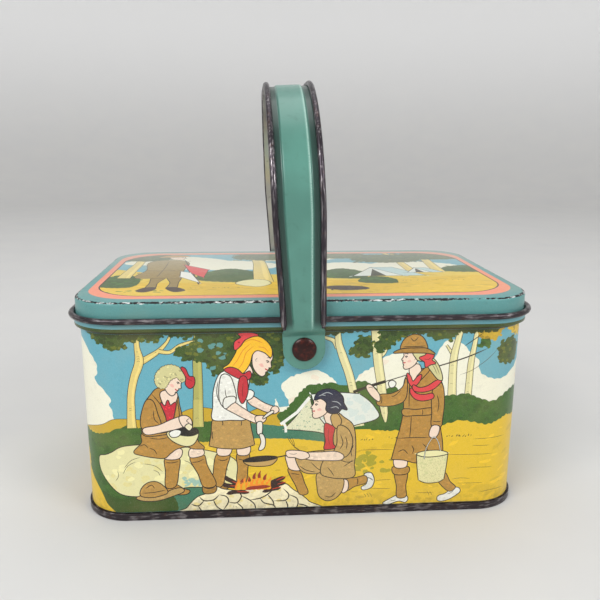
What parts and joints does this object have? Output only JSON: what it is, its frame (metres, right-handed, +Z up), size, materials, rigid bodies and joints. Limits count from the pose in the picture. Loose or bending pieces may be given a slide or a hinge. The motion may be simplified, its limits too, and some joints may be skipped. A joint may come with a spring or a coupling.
{
  "type": "lithographed tin",
  "caption": "Rounded rectangular printed tinplate box with a lift-off lid, a wired rim, a crimped foot and a strap handle that swings on rivets, for carrying a meal.",
  "frame": {"origin": "on the table, in the middle of the object's plan, at the underside of the crimped foot", "axes": "+X along the tin's length, +Y towards its back, +Z up"},
  "size_m": [0.1988, 0.1398, 0.1844],
  "materials": {
    "printed_wall": "glossy printed tinplate, worn at the edges",
    "worn_steel": "dark, worn tinplate",
    "iron_wire": "dull drawn wire",
    "printed_lid": "glossy printed tinplate, worn at the edges",
    "handle_enamel": "teal enamel, bare dark metal on the rolled edges",
    "brown_rivet": "dark reddish brown, semi-gloss",
    "bright_tin": "bare tinplate, slightly tarnished"
  },
  "bodies": {
    "tin_body": {"body_wall": "printed_wall", "base_plate": "worn_steel", "rim_wire": "iron_wire", "front_rivet": "brown_rivet", "back_rivet": "brown_rivet", "front_spacer": "bright_tin", "back_spacer": "bright_tin", "front_burr": "bright_tin", "back_burr": "bright_tin"},
    "handle": {"handle_strap": "handle_enamel", "handle_wire_left": "iron_wire", "handle_wire_right": "iron_wire"},
    "lid": {"lid_shell": "printed_lid"}
  },
  "joints": [
    {"name": "handle_swing", "type": "hinge", "parent": "tin_body", "child": "handle", "pos_m": [-0.0014, 0, 0.076], "axis": [0, 1, 0], "range_deg": [-52.5, 57.3]},
    {"name": "lid_lift", "type": "slide", "parent": "tin_body", "child": "lid", "axis": [0, 0, 1], "range_m": [0, 0.012]}
  ]
}
